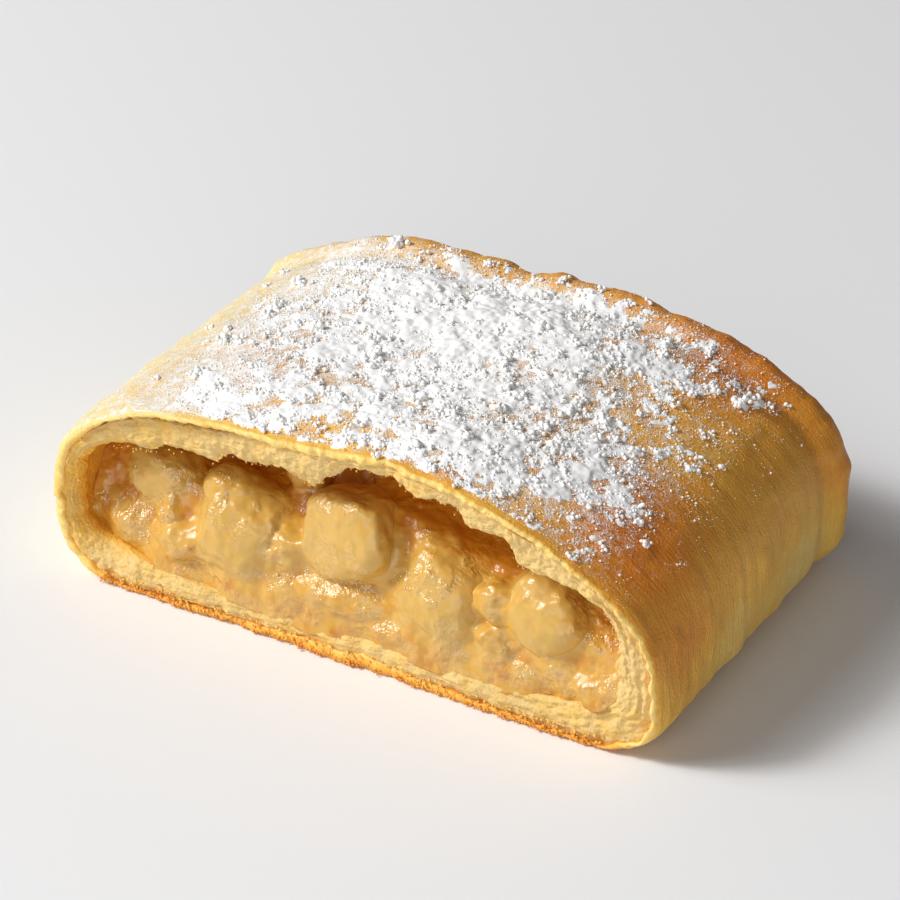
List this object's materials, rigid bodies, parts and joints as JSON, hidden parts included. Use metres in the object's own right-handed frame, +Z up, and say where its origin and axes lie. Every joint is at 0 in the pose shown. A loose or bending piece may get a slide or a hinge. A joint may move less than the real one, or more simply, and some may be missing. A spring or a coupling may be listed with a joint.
{
  "type": "apple strudel slice",
  "caption": "A slice of rolled pastry with a cut face that shows its stewed apple filling, a tucked baked end and a dusting of icing sugar",
  "frame": {"origin": "centre of the bounding box's underside, on the flat base", "axes": "+X across the roll, to the right seen from the cut face; +Y from the cut face to the baked end; +Z up"},
  "size_m": [0.1136, 0.0724, 0.0424],
  "materials": {
    "baked_pastry": "golden baked dough, dusted with icing sugar",
    "apple_syrup": "moist, glossy apple syrup",
    "stewed_apple": "soft, wet, pale yellow apple"
  },
  "bodies": {
    "root": {"pastry": "baked_pastry", "filling": "apple_syrup", "apple_left": "stewed_apple", "apple_mid_left": "stewed_apple", "apple_nook": "stewed_apple", "apple_middle": "stewed_apple", "apple_top": "stewed_apple", "apple_mid_right": "stewed_apple", "apple_right": "stewed_apple", "apple_corner": "stewed_apple"}
  },
  "joints": []
}
